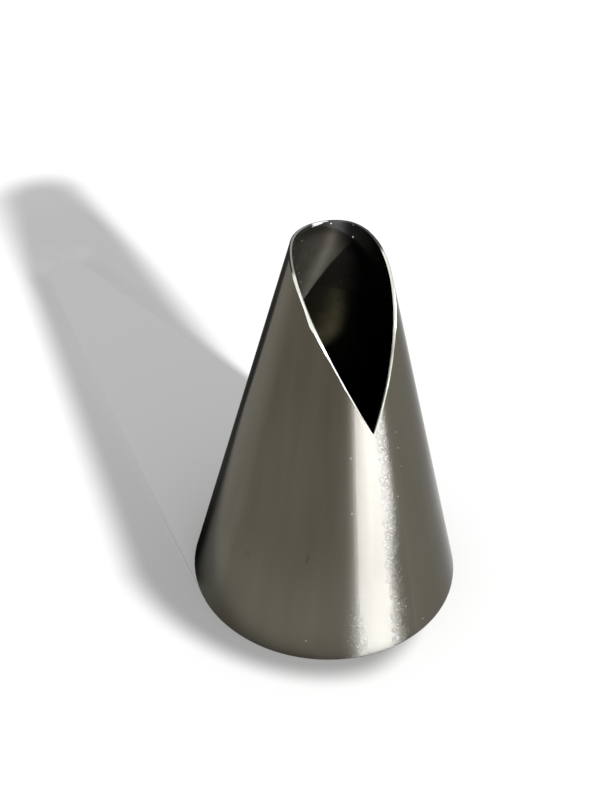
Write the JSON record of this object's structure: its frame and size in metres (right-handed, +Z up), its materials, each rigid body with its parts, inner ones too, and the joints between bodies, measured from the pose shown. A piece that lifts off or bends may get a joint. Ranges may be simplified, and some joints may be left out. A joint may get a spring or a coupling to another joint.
{
  "type": "piping nozzle",
  "caption": "Tapered stainless steel piping nozzle, open at both ends, with a teardrop mouth cut down one side for piping petals, ruffles and waves of cream.",
  "frame": {"origin": "centre of the wide foot, on the plane that the nozzle stands on", "axes": "+Z up the cone's axis to the mouth, -Y the side that the mouth is cut down, X across it; the part is the same on both sides of the plane X = 0"},
  "size_m": [0.035, 0.035, 0.0495],
  "materials": {
    "satin_steel": "satin stainless steel sheet with a faint lengthwise grain and bright cut edges at the mouth"
  },
  "bodies": {
    "root": {"nozzle_shell": "satin_steel"}
  },
  "joints": []
}
